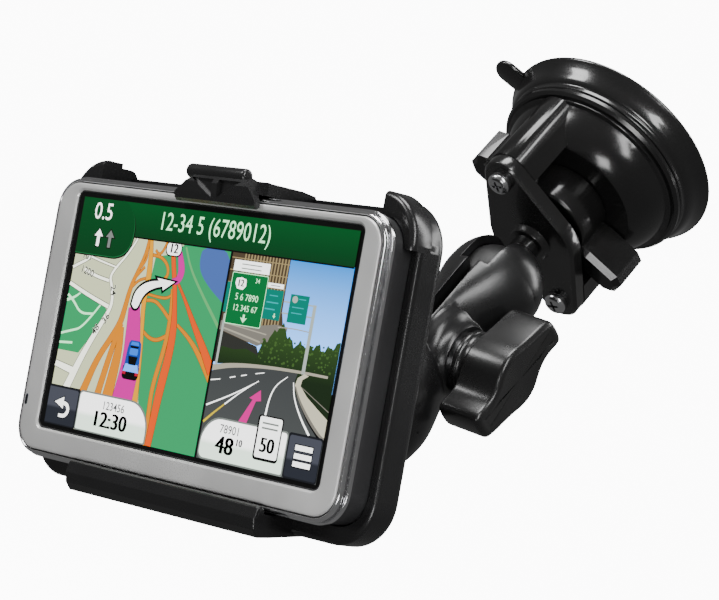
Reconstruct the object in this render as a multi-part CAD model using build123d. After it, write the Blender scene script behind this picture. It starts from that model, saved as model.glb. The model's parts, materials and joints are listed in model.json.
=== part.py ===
from build123d import *
import math
import os

# Portable navigator in its windscreen mount: a 5 inch navigator, its snap-in cradle, a double
# socket arm with a T knob, and a twist-lock suction cup.
# Frame: origin at the centre of the cup's sealing face, X to the driver's right, Y towards the
# windscreen, Z up. Millimetres.

# ---- driving dimensions -------------------------------------------------------------------
cup_elevation = 48.9        # the cup's axis above level, in the YZ plane
arm_elevation = 47.6        # the arm above level, in the YZ plane
knob_roll = 12.4            # the clamp knob's axis, turned about the arm from level
lever_rest_angle = 54.0     # the twist lever, from X about the cup's axis
arm_length = 61.5           # ball centre to ball centre
ball_radius = 12.7          # one inch ball, rubber covered
ball_core_radius = 11.0
post_radius = 4.5
socket_clearance = 0.3
skin_clearance = 0.3        # between the ball's core and the rubber skin that turns with the arm
base_plate_thickness = 5.0
base_to_ball = 26.1         # a diamond base's mounting face to its ball's centre
base_screw_pitch = 48.6     # two hole pattern
ball_b_height = 68.0        # sealing face to the upper ball's centre

nav_width = 140.0
nav_height = 85.0
nav_depth = 15.5
nav_corner = 9.5
bezel_thickness = 2.6
trim_thickness = 1.2
trim_overhang = 0.7
window_width = 122.2
window_height = 72.9
window_x = 0.6
window_y = 2.3
ball_a_from_screen = (27.4, 54.0, -12.8)   # the lower ball from the screen's centre, row axes

cradle_half_width = 73.4
cradle_half_height = 48.2
cradle_corner = 14.0
cradle_wall_front = -11.0
cradle_back = -22.0
cradle_floor = -19.6        # the tray's inner floor; ribs carry the navigator above it
rest_height = -16.0
cradle_gap = 0.5

cup_rim_radius = 37.0
flange_radius = 32.3
rubber_top = -9.7
flange_top = -12.4
dome_radius = 29.0
hub_radius = 14.0
hub_top = -25.2
hub_bottom = -38.0
paddle_bottom = -39.2
paddle_inner = 12.0
paddle_outer = 30.5
paddle_half_thickness = 4.6
paddle_height = 13.9

arm_gap = 4.0               # between the arm's two halves
arm_half_width = 16.2
arm_wall_radius = 15.8      # outside of the sockets
arm_waist_depth = 9.0
knob_seat = 12.0            # from the arm's mid plane to the knob's underside
knob_top = 31.5

# ---- frames -------------------------------------------------------------------------------
cup_axis = Vector(0, math.cos(math.radians(cup_elevation)), math.sin(math.radians(cup_elevation)))
arm_axis = Vector(0, math.cos(math.radians(arm_elevation)), math.sin(math.radians(arm_elevation)))
arm_side = arm_axis.cross(Vector(1, 0, 0))
knob_axis = (Vector(1, 0, 0) * math.cos(math.radians(knob_roll))
             + arm_side * math.sin(math.radians(knob_roll)))
ball_b = cup_axis * -ball_b_height
ball_a = ball_b - arm_axis * arm_length
screen_centre = ball_a - Vector(*ball_a_from_screen)

cup_frame = Plane(origin=(0, 0, 0), x_dir=(1, 0, 0), z_dir=cup_axis)
arm_frame = Plane(origin=(ball_a + ball_b) * 0.5, x_dir=arm_axis, z_dir=knob_axis)
screen_frame = Plane(origin=screen_centre, x_dir=(1, 0, 0), z_dir=(0, -1, 0))
base_a_frame = Plane(origin=ball_a - Vector(0, base_to_ball, 0), x_dir=(1, 0, 0), z_dir=(0, 1, 0))
base_b_frame = Plane(origin=ball_b + cup_axis * base_to_ball,
                     x_dir=cup_frame.y_dir, z_dir=cup_axis * -1)

os.makedirs("parts", exist_ok=True)


def save(name, shape, frame):
    """Places a piece modelled in one of the frames and writes its file."""
    placed = frame.location * shape
    placed.label = name
    export_step(placed, "parts/" + name + ".step")


def slab(width, height, radius, z_low, z_high, x=0.0, y=0.0):
    """A plate with rounded corners between two heights."""
    return Pos(x, y, z_low) * extrude(RectangleRounded(width, height, radius), z_high - z_low)


def block(x0, x1, y0, y1, z0, z1):
    return Pos((x0 + x1) / 2, (y0 + y1) / 2, (z0 + z1) / 2) * Box(x1 - x0, y1 - y0, z1 - z0)


def rod(radius, z0, z1, x=0.0, y=0.0):
    return Pos(x, y, (z0 + z1) / 2) * Cylinder(radius, z1 - z0)


def tube(outer, inner, z0, z1, x=0.0, y=0.0):
    return rod(outer, z0, z1, x, y) - rod(inner, z0 - 1, z1 + 1, x, y)


def turned(*outline):
    """A solid of revolution about Z from a closed outline of (radius, height) points."""
    face = make_face(Polyline(*[(r, 0, z) for r, z in outline], close=True))
    return revolve(face, Axis.Z, 360)


def edges_at(shape, z, tolerance=0.02):
    return shape.edges().filter_by_position(Axis.Z, z - tolerance, z + tolerance)


def pan_head_screw(head_radius, head_height, shank_radius, shank_length):
    """A cross recessed screw, head up, the head's underside at Z 0."""
    head = rod(head_radius, 0, head_height)
    head = fillet(edges_at(head, head_height), head_height * 0.55)
    shank = rod(shank_radius, -shank_length, 0)
    blade = Pos(0, 0, head_height) * Box(head_radius * 1.1, head_radius * 0.22, head_height * 1.2)
    return head + shank - blade - Rot(0, 0, 90) * blade


def hex_nut(across_flats, height, bore):
    body = extrude(RegularPolygon(across_flats / 2, 6, major_radius=False), height)
    return body - rod(bore, -1, height + 1)


# ---- navigator ----------------------------------------------------------------------------
# Screen frame: x to the right, y up, z towards the driver, the bezel's face at z 0.
trim_low = -bezel_thickness - trim_thickness
glass_width = window_width - 0.4
glass_height = window_height - 0.4
glass_top = -0.9
glass_low = -2.0
panel_width = 117.0
panel_height = 69.0
panel_low = -3.4
light_low = -5.2
frame_low = -6.0
board_top = -7.0
board_low = -8.2
shell_wall = 1.6
button_x = -36.0
card_y = 8.0
card_width = 11.0
slot_x = -67.3              # the microphone's slot
slot_y = -26.8


def front_bezel():
    body = slab(nav_width, nav_height, nav_corner, -bezel_thickness, 0)
    body = fillet(edges_at(body, 0), 0.9)
    body -= slab(window_width, window_height, 2.2, -bezel_thickness - 1, 1, window_x, window_y)
    inner = edges_at(body, 0).filter_by(
        lambda e: abs(e.center().X - window_x) < window_width / 2 + 0.2
        and abs(e.center().Y - window_y) < window_height / 2 + 0.2)
    body = chamfer(inner, 0.5)
    body -= slab(1.4, 4.4, 0.6, -bezel_thickness - 1, 1, slot_x, slot_y)
    return body


def trim_ring():
    outer = slab(nav_width + 2 * trim_overhang, nav_height + 2 * trim_overhang,
                 nav_corner + trim_overhang, trim_low, -bezel_thickness)
    outer = fillet(edges_at(outer, -bezel_thickness), 0.3)
    return outer - slab(nav_width - 2.4, nav_height - 2.4, nav_corner - 1.2, trim_low - 1, 0)


def rear_case():
    body = slab(nav_width, nav_height, nav_corner, -nav_depth, trim_low)
    body = fillet(edges_at(body, -nav_depth), 4.5)
    body -= slab(nav_width - 2 * shell_wall, nav_height - 2 * shell_wall, nav_corner - shell_wall,
                 -nav_depth + shell_wall, trim_low + 1)
    for x in (-62, 62):
        for y in (-34.5, 34.5):
            body += tube(2.6, 1.0, -nav_depth + shell_wall, frame_low, x, y)
            body -= rod(1.9, -nav_depth - 1, -nav_depth + 0.9, x, y)
            body -= rod(1.1, -nav_depth - 1, frame_low + 1, x, y)
    for row in range(5):
        body -= slab(16, 1.4, 0.6, -nav_depth - 1, -nav_depth + 3, 32, -24 + 3 * row)
    body -= block(button_x - 4.3, button_x + 4.3, nav_height / 2 - 3, nav_height / 2 + 1, -10.4, -7.6)
    body -= block(-nav_width / 2 - 1, -nav_width / 2 + 3, card_y - 6.2, card_y + 6.2, -10.6, -9.0)
    body -= slab(9.0, 4.6, 0.9, -nav_depth - 1, -nav_depth + 3, -40, -28)
    return body


def touch_glass():
    return slab(glass_width, glass_height, 2.0, glass_low, glass_top, window_x, window_y)


def lcd_panel():
    return slab(panel_width, panel_height, 1.0, panel_low, glass_low - 0.1, window_x, window_y)


def backlight_unit():
    body = slab(panel_width, panel_height, 1.0, light_low, panel_low - 0.1, window_x, window_y)
    return body - slab(panel_width - 8, panel_height - 8, 0.8, light_low - 1, light_low + 0.5,
                       window_x, window_y)


def display_frame():
    body = slab(133, 78, 6.0, frame_low, light_low - 0.1)
    for x in (-62, 62):
        for y in (-34.5, 34.5):
            body -= rod(1.1, frame_low - 1, light_low + 1, x, y)
    body -= slab(16, 8, 1.0, frame_low - 1, light_low + 1, 16, -38)
    return body - slab(60, 30, 4.0, frame_low - 1, light_low + 1)


def main_board():
    body = slab(118, 62, 2.0, board_low, board_top)
    return body - slab(20, 8, 1.0, board_low - 1, board_top + 1, 0, 31)


def rear_pieces():
    """The parts that stand on the main board, behind it."""
    top = board_low - 0.05
    shield = slab(34, 28, 1.0, top - 2.4, top, 12, 14) - slab(32.8, 26.8, 0.6, top - 2.0, top + 1, 12, 14)
    battery = fillet(block(-50, -8, -22, 18, top - 4.6, top).edges().filter_by(Axis.Y), 1.6)
    speaker = tube(11.5, 4.0, top - 4.2, top, 32, -18) + rod(10.5, top - 5.0, top - 4.2, 32, -18)
    antenna = slab(18, 18, 1.0, top - 4.0, top, 46, 20) + rod(0.8, top - 4.4, top - 4.0, 46, 20)
    return shield, battery, speaker, antenna


def display_ribbon():
    path = FilletPolyline((16, -33, -4.4), (16, -36.2, -4.4), (16, -36.2, -8.7), (16, -26, -8.7), radius=1.2)
    section = Plane(origin=path @ 0, x_dir=(1, 0, 0), z_dir=path % 0) * Rectangle(14, 0.25)
    return sweep(section, path=path)


def microphone():
    return rod(1.9, frame_low + 0.8, -bezel_thickness - 0.1, slot_x + 0.9, slot_y)


def usb_socket():
    shell = slab(8.2, 3.8, 0.8, -14.6, board_low - 0.05, -40, -28)
    return shell - slab(7.0, 2.6, 0.5, -16, -10.0, -40, -28)


def card_slot():
    body = block(-66.5, -51.5, card_y - 7.2, card_y + 7.2, -11.2, board_low - 0.1)
    return body - block(-70, -53.5, card_y - 5.9, card_y + 5.9, -10.5, -9.1)


def memory_card():
    body = block(-68.9, -54.2, card_y - card_width / 2, card_y + card_width / 2, -10.2, -9.4)
    return fillet(body.edges().filter_by(Axis.Z), 0.5)


def power_button():
    cap = slab(8.0, 2.2, 0.9, 0, 2.6)
    cap = fillet(edges_at(cap, 2.6), 0.35)
    flange = slab(10.4, 3.4, 0.4, -0.8, 0)
    return Pos(button_x, nav_height / 2 - 2.5, -9.0) * Rot(-90, 0, 0) * (cap + flange)


def power_switch():
    return block(button_x - 2.5, button_x + 2.5, nav_height / 2 - 7.4, nav_height / 2 - 4.0, -10.4, -8.3)


def case_screws():
    screws = []
    for x in (-62, 62):
        for y in (-34.5, 34.5):
            screw = Rot(180, 0, 0) * pan_head_screw(1.7, 0.8, 0.85, 8.0)
            screws.append(Pos(x, y, -nav_depth + 0.9) * screw)
    return Compound(children=screws)


save("front_bezel", front_bezel(), screen_frame)
save("trim_ring", trim_ring(), screen_frame)
save("rear_case", rear_case(), screen_frame)
save("touch_glass", touch_glass(), screen_frame)
save("lcd_panel", lcd_panel(), screen_frame)
save("backlight_unit", backlight_unit(), screen_frame)
save("display_frame", display_frame(), screen_frame)
save("main_board", main_board(), screen_frame)
for name, piece in zip(("shield_can", "battery", "speaker", "gps_antenna"), rear_pieces()):
    save(name, piece, screen_frame)
save("display_ribbon", display_ribbon(), screen_frame)
save("microphone", microphone(), screen_frame)
save("usb_socket", usb_socket(), screen_frame)
save("card_slot", card_slot(), screen_frame)
save("memory_card", memory_card(), screen_frame)
save("power_button", power_button(), screen_frame)
save("power_switch", power_switch(), screen_frame)
save("case_screws", case_screws(), screen_frame)

# ---- cradle -------------------------------------------------------------------------------
lip_half_width = 41.0
lip_x = 3.0
lip_front = 4.2
lip_low = -50.2
lip_high = -41.2
lip_round = 0.7             # the lip's long front edges
lip_end_round = 0.5
lip_face = 1.0              # the lip stands in front of the bezel from here on
latch_half_width = 17.0
latch_x = 3.5
latch_root_y = 34.9
pad_x = ball_a_from_screen[0]
pad_y = ball_a_from_screen[2]
pad_face = -(ball_a_from_screen[1] - base_to_ball)
nut_well_top = -17.0
nut_low = -20.6
ear_reach = 60.0            # the cradle's top walls run in from the corners to here
ear_height = 49.6
ear_front = -7.5


def lip_profile():
    """The shelf under the navigator and the lip in front of its bezel, seen from the side."""
    inner = -nav_height / 2 - trim_overhang - 0.4
    points = [(cradle_back + 2.5, -cradle_half_height), (-3, lip_low + 0.3), (1.6, lip_low),
              (3.6, lip_low + 2.2), (lip_front, lip_low + 5.2), (3.4, lip_high - 0.5), (2.2, lip_high),
              (1.0, lip_high - 0.7), (0.6, lip_high - 2.3), (0.6, inner), (cradle_floor, inner),
              (cradle_floor, -44), (cradle_back + 2.5, -44)]
    return make_face(Polyline(*[(0, y, z) for z, y in points], close=True))


def navigator_room(low, high):
    return slab(nav_width + 2 * cradle_gap, nav_height + 2 * cradle_gap, nav_corner + cradle_gap, low, high)


def cradle_ears():
    """Short raised walls round the tray's upper corners, hooked over towards the driver."""
    ring = slab(2 * cradle_half_width, 2 * ear_height, cradle_corner, cradle_wall_front - 4, ear_front)
    ring = fillet(edges_at(ring, ear_front), 1.8)
    ring -= navigator_room(cradle_floor, 5)
    left = ring & block(-80, -ear_reach, 34.0, 60, -20, 5)
    right = ring & block(ear_reach, 80, 34.0, 60, -20, 5)
    return left + right


def cradle_tray():
    body = slab(2 * cradle_half_width, 2 * cradle_half_height, cradle_corner,
                cradle_back, cradle_wall_front)
    body = fillet(edges_at(body, cradle_back), 3.5)
    body = fillet(edges_at(body, cradle_wall_front), 1.4)
    body -= navigator_room(cradle_floor, 5)
    # the top is open between the two ears
    body -= block(-ear_reach, ear_reach, nav_height / 2 - 4, 60, cradle_floor, 5)
    body -= block(-ear_reach, ear_reach, cradle_half_height - 2.4, 60, cradle_back - 1, 5)
    body += cradle_ears()
    lip = extrude(lip_profile(), lip_half_width, dir=(1, 0, 0), both=True)
    front = lip.edges().filter_by(Axis.X).filter_by(lambda e: e.center().Z > lip_face + 0.2)
    lip = fillet(front, lip_round)
    near_ends = lip.edges().filter_by(lambda e: abs(abs(e.center().X) - lip_half_width) < 0.01)
    lip = fillet(near_ends.filter_by(lambda e: e.center().Z > lip_face), lip_end_round)
    body += Pos(lip_x, 0, 0) * lip
    for y in (-34, 30):
        for side in (-1, 1):
            body += block(side * 50 - 14, side * 50 + 14, y - 1, y + 1, cradle_floor - 0.5, rest_height)
    # the pad that the diamond base is screwed to, with a nut well over each screw
    body += Pos(pad_x, pad_y, pad_face) * extrude(diamond_outline(2.0), cradle_back - pad_face + 0.6)
    for side in (-1, 1):
        x = pad_x + side * base_screw_pitch / 2
        body += rod(6.4, cradle_floor - 1, nut_well_top, x, pad_y)
        body -= rod(2.25, pad_face - 1, nut_well_top + 1, x, pad_y)
        body -= Pos(x, pad_y, nut_low - 0.1) * extrude(RegularPolygon(4.15, 6, major_radius=False), 8)
    # openings: speaker, charging lead, memory card and the latch
    body -= slab(20, 12, 3.0, cradle_back - 1, cradle_floor + 1, -18, -24)
    body -= slab(16, 12, 3.0, cradle_back - 1, cradle_floor + 1, -40, -28)
    body -= block(-80, -60, card_y - 8.5, card_y + 8.5, cradle_back - 1, 5)
    body -= block(latch_x - latch_half_width - 0.4, latch_x + latch_half_width + 0.4,
                  latch_root_y - 0.4, 60, cradle_back - 1, 5)
    return body


def diamond_outline(grow=0.0):
    """The diamond base's outline: two small circles at the screws and one at the middle, with
    straight flanks tangent to them. Long axis along X."""
    end_radius = 6.8 + grow
    mid_radius = 15.6 + grow
    reach = base_screw_pitch / 2
    lean = math.asin((mid_radius - end_radius) / reach)
    face = Sketch() + Circle(mid_radius)
    for side in (-1, 1):
        face += Pos(side * reach, 0) * Circle(end_radius)
        corners = []
        for up in (1, -1):
            corners.append((side * mid_radius * math.sin(lean), up * mid_radius * math.cos(lean)))
            corners.append((side * (reach + end_radius * math.sin(lean)), up * end_radius * math.cos(lean)))
        face += make_face(Polyline(corners[0], corners[1], corners[3], corners[2], close=True))
    return face


def cradle_latch():
    """A sprung hook over the navigator's top edge, hinged at its root behind the navigator."""
    points = [(-21.9, latch_root_y), (-21.9, 44.0), (-20.4, 46.6), (-15, 47.2), (-2, 47.2), (0.4, 48.0),
              (2.8, 47.0), (3.8, 45.0), (3.4, 42.0), (2.7, 39.9), (1.7, 39.1), (0.8, 39.7),
              (0.8, 42.6), (0.2, 43.5), (-16.0, 43.5), (-18.6, 41.6), (-18.6, latch_root_y)]
    face = make_face(Polyline(*[(0, y, z) for z, y in points], close=True))
    body = extrude(face, latch_half_width, dir=(1, 0, 0), both=True)
    # the hook narrows towards its edge, more on the right
    for side, slope in ((-1, 52), (1, 40)):
        body -= Pos(side * latch_half_width, 41.5, 3) * Rot(0, 0, side * slope) * Pos(
            side * 3.0, 0, 0) * Box(6, 24, 9)
    # the finger bar along the top
    bar = Pos(-2.0, 48.2, 0.8) * Rot(0, 90, 0) * Cylinder(2.2, 2 * latch_half_width - 9)
    body += fillet(bar.edges(), 1.2)
    # two shallow three-cornered pockets in the hook's face, a rib between them
    for side in (-1, 1):
        pocket = make_face(Polyline((side * 1.2, 46.2), (side * 10.5, 46.2), (side * 1.2, 41.0), close=True))
        body -= Pos(0, 0, 2.3) * extrude(pocket, 4)
    return Pos(latch_x, 0, 0) * body


def hold_screws(length):
    """Two pan-head screws for a diamond base, heads on its ball side."""
    screws = []
    for side in (-1, 1):
        screw = pan_head_screw(3.75, 2.8, 2.0, length)
        screws.append(Pos(side * base_screw_pitch / 2, 0, base_plate_thickness + 0.05) * screw)
    return Compound(children=screws)


def diamond_base():
    """The aluminium base: plate, flange, post and the ball's core."""
    plate = extrude(diamond_outline(), base_plate_thickness)
    plate = chamfer(edges_at(plate, base_plate_thickness), 0.9)
    body = plate + Pos(0, 0, base_plate_thickness - 0.1) * Cone(
        7.4, 6.2, 2.2, align=(Align.CENTER, Align.CENTER, Align.MIN))
    body += rod(post_radius, 2, base_to_ball)
    body += Pos(0, 0, base_to_ball) * Sphere(ball_core_radius)
    for side in (-1, 1):
        body -= rod(2.25, -1, base_plate_thickness + 1, side * base_screw_pitch / 2, 0)
    return body


def ball_skin():
    """The rubber moulded over a ball's core, open where the post comes out."""
    body = Pos(0, 0, base_to_ball) * (Sphere(ball_radius) - Sphere(ball_core_radius + skin_clearance))
    return body - rod(post_radius + skin_clearance, 0, base_to_ball)


save("cradle_tray", cradle_tray(), screen_frame)
save("cradle_latch", cradle_latch(), screen_frame)
save("cradle_base", diamond_base(), base_a_frame)
save("cradle_base_screws", hold_screws(14.8), base_a_frame)
save("cradle_ball_skin", ball_skin(), base_a_frame)
save("cup_base", diamond_base(), base_b_frame)
save("cup_base_screws", hold_screws(14.0), base_b_frame)
save("cup_ball_skin", ball_skin(), base_b_frame)


def cradle_nuts():
    nuts = []
    for side in (-1, 1):
        nuts.append(Pos(pad_x + side * base_screw_pitch / 2, pad_y, nut_low)
                    * hex_nut(8.0, 3.2, 2.05))
    return Compound(children=nuts)


save("cradle_nuts", cradle_nuts(), screen_frame)

# ---- double socket arm --------------------------------------------------------------------
# Arm frame: x towards the cup's ball, z out along the knob's bolt, the mid plane at z 0.
socket_x = arm_length / 2
socket_cavity = ball_radius + socket_clearance
slot_half_height = post_radius + 0.55
leaning_slot_half_height = 7.9   # the lower post leans out of the mid plane
slot_start = socket_x - 5.0


def arm_half(knob_side):
    """One half of the arm, on the side z > 0. Two sockets joined by a waisted trough, open along
    the mid plane, with a seat in the middle for the knob or for the bolt's head."""
    sections = []
    for x, width, depth in ((-socket_x, arm_wall_radius, arm_wall_radius),
                            (-14.5, arm_half_width - 0.6, 12.0), (0, arm_half_width - 1.0, arm_waist_depth),
                            (14.5, arm_half_width - 0.6, 12.0), (socket_x, arm_wall_radius, arm_wall_radius)):
        sections.append(Plane(origin=(x, 0, 0), x_dir=(0, 1, 0), z_dir=(1, 0, 0)) * Ellipse(width, depth))
    body = loft(sections)
    for x in (-socket_x, socket_x):
        body += Pos(x, 0, 0) * Sphere(arm_wall_radius)
    seat_top = knob_seat - 0.5 if knob_side else knob_seat - 0.8
    flare = turned((0, 0), (16.0, 4.0), (14.0, 7.6), (12.0, 9.2), (10.6, seat_top), (0, seat_top))
    body += flare
    body &= block(-60, 60, -30, 30, arm_gap / 2, 30)
    # the room inside: two sockets and the spring's well between them
    for x in (-socket_x, socket_x):
        body -= Pos(x, 0, 0) * Sphere(socket_cavity)
    body -= rod(9.0, -1, 6.4)
    body -= block(slot_start, 60, -30, 30, -1, slot_half_height)
    body -= block(-60, -slot_start, -30, 30, -1, leaning_slot_half_height)
    body -= rod(3.4, -1, 30)
    if not knob_side:
        body -= Pos(0, 0, seat_top - 3.2) * extrude(RegularPolygon(5.7, 6, major_radius=False), 5)
    return body


def arm_bolt():
    """The clamp bolt: hexagon head held in the far half, thread up into the knob."""
    head_under = -(knob_seat - 0.8) + 3.0
    head = Pos(0, 0, head_under - 3.0) * extrude(RegularPolygon(5.5, 6, major_radius=False), 3.0)
    return head + rod(3.15, head_under - 0.5, 26.0)


def arm_spring():
    """Pushes the halves apart when the knob is slackened."""
    turns = 3.5
    low = -5.6
    pitch = 11.2 / turns
    path = Pos(0, 0, low) * Helix(pitch=pitch, height=pitch * turns, radius=6.0)
    section = Plane(origin=path @ 0, z_dir=path % 0) * Circle(0.6)
    return sweep(section, path=path, is_frenet=True)


def knob_washer():
    return tube(8.6, 3.4, knob_seat - 0.45, knob_seat + 0.75)


def knob_outline():
    """Point-symmetric outline: a round hub with two wings set off to opposite sides."""
    right = [(0, 10.6), (7.5, 8.6), (17.6, 7.4), (21.6, -3.2), (13.8, -3.0), (10.2, -5.0), (6.2, -9.0)]
    left = [(-x, -y) for x, y in right]
    return make_face(Polyline(*(right + left), close=True))


def clamp_knob():
    base = knob_seat + 0.8
    body = rod(10.0, base, base + 1.8) + rod(9.4, base, knob_top - 4)
    grip = Pos(0, 0, base + 4.2) * extrude(knob_outline(), knob_top - base - 4.2)
    grip = fillet(grip.edges().filter_by(Axis.Z), 1.9)
    grip = fillet(edges_at(grip, knob_top), 1.4)
    body += grip
    body -= rod(4.6, base - 1, 27.5)
    return body


def knob_insert():
    return tube(4.55, 3.2, knob_seat + 0.9, 27.0)


save("arm_near_half", arm_half(True), arm_frame)
save("arm_far_half", Rot(180, 0, 0) * arm_half(False), arm_frame)
save("arm_bolt", arm_bolt(), arm_frame)
save("arm_spring", arm_spring(), arm_frame)
save("knob_washer", knob_washer(), arm_frame)
save("clamp_knob", clamp_knob(), arm_frame)
save("knob_insert", knob_insert(), arm_frame)

# ---- suction cup --------------------------------------------------------------------------
# Cup frame: z along the cup's axis towards the glass, the sealing face at z 0.
bridge_low = -(ball_b_height - base_to_ball)
leg_inner = 21.2
sweep_top = -24.7           # the bell is cut back to here where the paddles pass
stud_radius = 4.0
disc_radius = 10.2
disc_face = -6.4
tab_angle = -132.0


def rubber_cup():
    body = turned((0, 0), (0, -8.0), (12.0, -8.0), (16.0, rubber_top), (31.6, rubber_top),
                  (32.4, -9.2), (32.4, -7.9), (33.6, -7.4), (33.9, -6.2), (34.6, -4.4), (36.4, -1.6),
                  (cup_rim_radius, -0.9), (cup_rim_radius, -0.2), (cup_rim_radius - 0.3, 0.0))
    # the lifting disc's pocket, open at the back
    body -= rod(disc_radius + 0.3, -20, disc_face + 0.1)
    tab = Pos(38.0, 0, -2.4) * extrude(RectangleRounded(15, 9, 4.4), 1.8)
    tab &= block(34.0, 60, -10, 10, -5, 0)
    body += Rot(0, 0, tab_angle) * tab
    return body


def flange_ring():
    top = rubber_top - 0.05
    return turned((27.0, top), (27.0, flange_top), (flange_radius - 0.9, flange_top),
                  (flange_radius, flange_top + 0.9), (flange_radius, top - 0.6), (flange_radius - 0.6, top))


def cup_housing():
    """The bell with the two-legged bridge on top, one moulding."""
    low = flange_top - 0.05
    start = (dome_radius, 0, low - 1.2)
    middle = (26.0, 0, -20.6)
    end = (17.0, 0, -27.4)
    curve = ThreePointArc(start, middle, end)
    outline = curve + Polyline(end, (0, 0, -27.4), (0, 0, low), (30.4, 0, low), (30.4, 0, low - 0.9), start)
    bell = revolve(make_face(outline), Axis.Z, 360)
    legs = Pos(0, 0, bridge_low) * Rot(0, 0, 90) * extrude(diamond_outline(0.2), -bridge_low - 13.0)
    legs &= turned((0, -13.2), (31.4, -13.2), (31.4, -45), (0, -45))
    legs -= block(-40, 40, -leg_inner, leg_inner, bridge_low - 1, -13)
    body = bell + legs
    # the pocket that the lever's hub turns in, and the stud's hole
    body -= rod(hub_radius + 0.5, -40, hub_top + 0.5)
    body -= rod(stud_radius + 0.1, -30, 0)
    # hollow underneath for the rubber's boss and the return spring
    body -= turned((stud_radius + 3, low + 1), (24.5, low + 1), (24.5, -16.5), (19, -20.8),
                   (stud_radius + 3, -20.8))
    # the paddles sweep between the bell and the base
    body -= tube(paddle_outer + 1.5, hub_radius - 1, -45, sweep_top) & block(
        -60, 60, -leg_inner, leg_inner, -50, 0)
    for side in (-1, 1):
        body -= rod(2.05, bridge_low - 1, bridge_low + 11, 0, side * base_screw_pitch / 2)
    return body


def twist_lever():
    """The cam hub with a paddle on each side."""
    body = rod(hub_radius, hub_bottom, hub_top)
    body = fillet(edges_at(body, hub_bottom), 1.2)
    outline = [(paddle_inner - 3, -3.2), (16.0, -paddle_half_thickness), (27.5, -paddle_half_thickness),
               (paddle_outer, -2.4), (paddle_outer, 2.4), (27.5, paddle_half_thickness),
               (16.0, paddle_half_thickness), (paddle_inner - 3, 3.2)]
    for turn in (0, 180):
        paddle = extrude(make_face(Polyline(*outline, close=True)), paddle_height)
        paddle = Pos(0, 0, paddle_bottom) * chamfer(edges_at(paddle, 0), 1.6)
        body += Rot(0, 0, turn) * paddle
    body -= rod(stud_radius + 0.1, -60, 0)
    body -= rod(9.0, hub_bottom - 4, hub_bottom + 3.4)
    return Rot(0, 0, lever_rest_angle) * body


def lift_stud():
    """The stud and disc that pull the rubber's middle away from the glass."""
    body = rod(stud_radius, -34.0, disc_face - 1.0) + rod(disc_radius, disc_face - 1.4, disc_face)
    return body + rod(3.0, -37.4, -33.5)


def stud_nut():
    return Pos(0, 0, -37.0) * hex_nut(12.0, 2.3, 3.05)


def cup_spring():
    turns = 3.0
    pitch = 8.9 / turns
    path = Pos(0, 0, -19.9) * Helix(pitch=pitch, height=pitch * turns, radius=8.6)
    section = Plane(origin=path @ 0, z_dir=path % 0) * Circle(0.7)
    return sweep(section, path=path, is_frenet=True)


save("rubber_cup", rubber_cup(), cup_frame)
save("flange_ring", flange_ring(), cup_frame)
save("cup_housing", cup_housing(), cup_frame)
save("twist_lever", twist_lever(), cup_frame)
save("lift_stud", lift_stud(), cup_frame)
save("stud_nut", stud_nut(), cup_frame)
save("cup_spring", cup_spring(), cup_frame)
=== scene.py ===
import bmesh
import bpy
import json
import math
import numpy as np
from mathutils import Matrix, Vector


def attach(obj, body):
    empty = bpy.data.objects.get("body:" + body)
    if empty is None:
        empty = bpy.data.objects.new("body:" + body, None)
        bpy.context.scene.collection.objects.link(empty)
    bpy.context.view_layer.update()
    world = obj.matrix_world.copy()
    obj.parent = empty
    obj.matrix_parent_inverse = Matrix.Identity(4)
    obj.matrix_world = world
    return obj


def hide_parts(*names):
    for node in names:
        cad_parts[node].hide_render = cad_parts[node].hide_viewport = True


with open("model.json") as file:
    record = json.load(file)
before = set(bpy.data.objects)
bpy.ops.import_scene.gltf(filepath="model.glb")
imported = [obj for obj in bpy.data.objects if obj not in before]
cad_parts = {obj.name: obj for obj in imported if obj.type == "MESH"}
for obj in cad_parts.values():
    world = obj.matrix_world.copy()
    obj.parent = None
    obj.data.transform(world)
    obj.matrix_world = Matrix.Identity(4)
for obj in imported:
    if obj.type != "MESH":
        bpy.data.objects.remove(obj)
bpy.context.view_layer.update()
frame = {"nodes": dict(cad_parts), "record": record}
nodes = frame["nodes"]
renderLevels = 2
screenCentre = np.array([-0.0274, -0.140171, -0.083857])  # middle of the navigator's face
print("frame loaded")


# shading

class Wire:  # a socket that can be written in sums
    def __init__(self, tree, socket):
        self.tree = tree
        self.socket = socket

    def sum(self, kind, *values):
        made = self.tree.nodes.new("ShaderNodeMath")
        made.operation = kind
        for hole, value in zip(made.inputs, values):
            feed(self.tree, hole, value)
        return Wire(self.tree, made.outputs[0])

    def __add__(self, other):
        return self.sum("ADD", self, other)

    def __radd__(self, other):
        return self.sum("ADD", other, self)

    def __sub__(self, other):
        return self.sum("SUBTRACT", self, other)

    def __mul__(self, other):
        return self.sum("MULTIPLY", self, other)


def feed(tree, hole, value):
    if isinstance(value, Wire):
        tree.links.new(value.socket, hole)
    else:
        hole.default_value = value


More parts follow.
